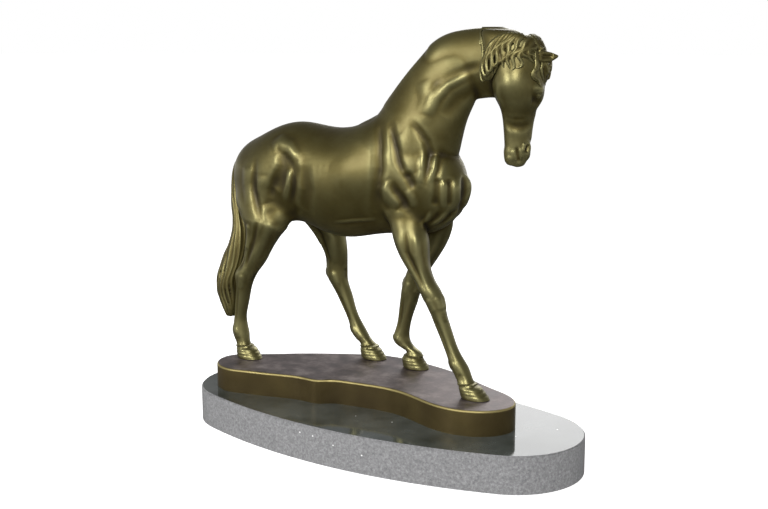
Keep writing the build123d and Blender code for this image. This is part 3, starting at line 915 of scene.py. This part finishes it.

# %% [markdown]
# ### Ground plinth
# The ground is flat and mottled purple brown on top, brown gold on its side, and rubbed bright along its
# rounded top edge, where a painted highlight is laid on the same gold band. The upward part of the surface
# normal tells these three apart.

# %% Ground plinth
material, shader, add, link = new_finish("ground_bronze")
place = add("TexCoord").outputs["Object"]
up = add("SeparateXYZ", {"Vector": add("NewGeometry").outputs["Normal"]}).outputs["Z"]
mottle = add("TexNoise", {"Vector": place, "Scale": 55.0, "Detail": 5.0, "Roughness": 0.65})
cloud = add("TexNoise", {"Vector": place, "Scale": 16.0, "Detail": 2.0})
top_colour = ramp(add, mottle.outputs["Fac"], [(0.36, (0.060, 0.046, 0.044)), (0.52, (0.140, 0.112, 0.108)),
                                               (0.68, (0.250, 0.215, 0.205))])
side_colour = ramp(add, cloud.outputs["Fac"], [(0.35, (0.060, 0.042, 0.015)), (0.65, (0.110, 0.082, 0.028))])
top_share = add("MapRange", {"Value": up, "From Min": 0.86, "From Max": 0.985})
edge_low = add("MapRange", {"Value": up, "From Min": 0.08, "From Max": 0.45})
edge_high = add("MapRange", {"Value": up, "From Min": 0.80, "From Max": 0.98, "To Min": 1.0, "To Max": 0.0})
edge = add("Math", {0: edge_low.outputs["Result"], 1: edge_high.outputs["Result"]}, operation="MULTIPLY")
body = add("MixRGB", {"Fac": top_share.outputs["Result"], "Color1": side_colour, "Color2": top_colour})
# The gold band on the rounded top edge is partly rubbed metal and partly a painted highlight.
EDGE_WEAR_AND_HIGHLIGHT_GOLD = (0.34, 0.28, 0.11, 1)
edge_wear_and_highlight = add("MixRGB", {"Fac": edge.outputs[0], "Color1": body.outputs["Color"], "Color2": EDGE_WEAR_AND_HIGHLIGHT_GOLD})
link(edge_wear_and_highlight.outputs["Color"], "Base Color")
rough = add("MapRange", {"Value": mottle.outputs["Fac"], "From Min": 0.3, "From Max": 0.75,
                         "To Min": 0.38, "To Max": 0.6})
link(rough.outputs["Result"], "Roughness")
bump = add("Bump", {"Strength": 0.35, "Distance": 0.0008, "Height": mottle.outputs["Fac"]})
link(bump.outputs["Normal"], "Normal")
shader.inputs["Metallic"].default_value = 0.7
ground_bronze = material
print("made", material.name)

# %% [markdown]
# ### Stone
# The slab is a dark green grey stone: polished on top, honed and paler on its side, with fine specks of
# crystal and a few white ones.

# %% Stone
material, shader, add, link = new_finish("slab_stone")
place = add("TexCoord").outputs["Object"]
up = add("SeparateXYZ", {"Vector": add("NewGeometry").outputs["Normal"]}).outputs["Z"]
fine = add("TexNoise", {"Vector": place, "Scale": 420.0, "Detail": 4.0, "Roughness": 0.75})
cloud = add("TexNoise", {"Vector": place, "Scale": 22.0, "Detail": 4.0, "Roughness": 0.6})
specks = add("TexVoronoi", {"Vector": place, "Scale": 130.0, "Randomness": 1.0})
white = add("MapRange", {"Value": specks.outputs["Distance"], "From Min": 0.07, "From Max": 0.12,
                         "To Min": 1.0, "To Max": 0.0})
rare = add("MapRange", {"Value": add("SeparateXYZ", {"Vector": specks.outputs["Color"]}).outputs["X"],
                        "From Min": 0.93, "From Max": 0.95})
spot = add("Math", {0: white.outputs["Result"], 1: rare.outputs["Result"]}, operation="MULTIPLY")
top_stone = ramp(add, cloud.outputs["Fac"], [(0.35, (0.030, 0.036, 0.032)), (0.65, (0.075, 0.084, 0.078))])
side_stone = ramp(add, fine.outputs["Fac"], [(0.32, (0.105, 0.105, 0.108)), (0.5, (0.175, 0.175, 0.178)),
                                             (0.68, (0.26, 0.26, 0.262))])
top_share = add("MapRange", {"Value": up, "From Min": 0.8, "From Max": 0.95})
body = add("MixRGB", {"Fac": top_share.outputs["Result"], "Color1": side_stone, "Color2": top_stone})
SPECK_WHITE = (0.75, 0.75, 0.74, 1)
spotted = add("MixRGB", {"Fac": spot.outputs[0], "Color1": body.outputs["Color"], "Color2": SPECK_WHITE})
link(spotted.outputs["Color"], "Base Color")
rough = add("MapRange", {"Value": up, "From Min": 0.8, "From Max": 0.95, "To Min": 0.45, "To Max": 0.07})
link(rough.outputs["Result"], "Roughness")
bump = add("Bump", {"Strength": 0.05, "Distance": 0.0003, "Height": fine.outputs["Fac"]})
link(bump.outputs["Normal"], "Normal")
stone = material
print("made", material.name)

# %% [markdown]
# ### Steel and felt
# The bolts, washers, studs and nuts are plain zinc-bright steel with fine turning marks; the felt is a
# deep green with a fibrous nap.

# %% Steel
material, shader, add, link = new_finish("bright_steel")
place = add("TexCoord").outputs["Object"]
marks = add("TexNoise", {"Vector": add("Mapping", {"Vector": place, "Scale": (60, 60, 2600)}).outputs[0],
                         "Scale": 1.0, "Detail": 3.0})
link(ramp(add, marks.outputs["Fac"], [(0.3, (0.42, 0.42, 0.43)), (0.7, (0.62, 0.62, 0.63))]), "Base Color")
rough = add("MapRange", {"Value": marks.outputs["Fac"], "To Min": 0.25, "To Max": 0.5})
link(rough.outputs["Result"], "Roughness")
shader.inputs["Metallic"].default_value = 1.0
steel = material

# %% Felt
material, shader, add, link = new_finish("green_felt")
place = add("TexCoord").outputs["Object"]
fibre = add("TexNoise", {"Vector": place, "Scale": 2600.0, "Detail": 4.0, "Distortion": 1.5})
green = ramp(add, fibre.outputs["Fac"], [(0.3, (0.010, 0.040, 0.020)), (0.7, (0.030, 0.095, 0.050))])
link(green, "Base Color")
bump = add("Bump", {"Strength": 0.6, "Distance": 0.0003, "Height": fibre.outputs["Fac"]})
link(bump.outputs["Normal"], "Normal")
shader.inputs["Roughness"].default_value = 0.95
shader.inputs["Sheen Weight"].default_value = 0.4
felt.data.materials.clear()
felt.data.materials.append(material)
print("made", steel.name, "and", material.name)

# %% Dress the CAD parts that stay
STAYING = {"stone_base": stone, "ground_plinth": ground_bronze, "plinth_bolts": steel,
           "plinth_washers": steel, "hoof_studs": steel, "hoof_nuts": steel}
for name, finish in STAYING.items():
    if not nodes[name].material_slots:
        nodes[name].data.materials.append(finish)
    for material_slot in nodes[name].material_slots:
        material_slot.material = finish
print("dressed:", sorted(STAYING))

# %% [markdown]
# ## Floor and light
# A statue in metal shows its surroundings more than its own colour, so the light is planned as what the
# bronze will mirror: a white table, a pale horizon, a dim ceiling that keeps the back and the crest dark,
# and large soft lamps in front that draw the highlights on the barrel, the neck and the cheek.

# %% Floor
bpy.ops.object.select_all(action="DESELECT")
bpy.ops.mesh.primitive_plane_add(size=80, location=(0, 0, 0))
floor = bpy.context.view_layer.objects.active
floor.name = "pale_table"
material, shader, add, link = new_finish("white_table")
shader.inputs["Base Color"].default_value = (0.9, 0.9, 0.9, 1)
shader.inputs["Roughness"].default_value = 0.9
shader.inputs["Specular IOR Level"].default_value = 0.0
shader.inputs["Emission Color"].default_value = (1, 1, 1, 1)
shader.inputs["Emission Strength"].default_value = 0.85
floor.data.materials.append(material)
floor.visible_glossy = False
floor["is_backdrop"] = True

# %% World, pale at the horizon and dim overhead
world = bpy.data.worlds.new("studio_room")
bpy.context.scene.world = world
world.use_nodes = True
tree = world.node_tree
look = tree.nodes.new("ShaderNodeTexCoord")
split = tree.nodes.new("ShaderNodeSeparateXYZ")
tree.links.new(look.outputs["Generated"], split.inputs[0])
sky = tree.nodes.new("ShaderNodeValToRGB")
level = tree.nodes.new("ShaderNodeMapRange")
level.inputs["From Min"].default_value = -1.0
tree.links.new(split.outputs["Z"], level.inputs["Value"])
tree.links.new(level.outputs["Result"], sky.inputs["Fac"])
SKY = ((0.0, 0.03), (0.30, 0.06), (0.44, 0.22), (0.48, 1.0),
       (0.525, 1.0), (0.57, 0.50), (0.66, 0.26), (0.85, 0.17))
bar = sky.color_ramp
while len(bar.elements) < len(SKY):
    bar.elements.new(0.5)
for element, (place, grey) in zip(bar.elements, SKY):
    element.position = place
    element.color = (grey, grey, grey, 1)
tree.links.new(sky.outputs["Color"], tree.nodes["Background"].inputs["Color"])
tree.nodes["Background"].inputs["Strength"].default_value = 1.0

# %% Lamps


def soft_lamp(name, place, size, watts, aim=(0.0, 0.03, 0.22)):
    """A square lamp aimed at the horse."""
    data = bpy.data.lights.new(name, "AREA")
    data.size = size
    data.energy = watts
    lamp = bpy.data.objects.new(name, data)
    lamp.location = place
    lamp.rotation_euler = (Vector(aim) - Vector(place)).to_track_quat("-Z", "Y").to_euler()
    bpy.context.scene.collection.objects.link(lamp)


soft_lamp("left_front_lamp", (-0.70, -1.35, 0.85), 0.5, 12)
soft_lamp("high_front_lamp", (0.50, -1.25, 1.30), 0.8, 23)
soft_lamp("table_lamp_back", (-0.3, 1.5, 0.9), 1.0, 10)
bpy.context.scene.view_settings.view_transform = "Standard"
print("lamps:", len(bpy.data.lights))

# %% [markdown]
# ## Measure
# The box of the visual model is printed, as the CAD box was at the start. The visual model
# must stay within the box of the CAD.

low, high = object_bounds()
print("visual box, mm:", [round(v / MM, 1) for v in (*low, *high)])
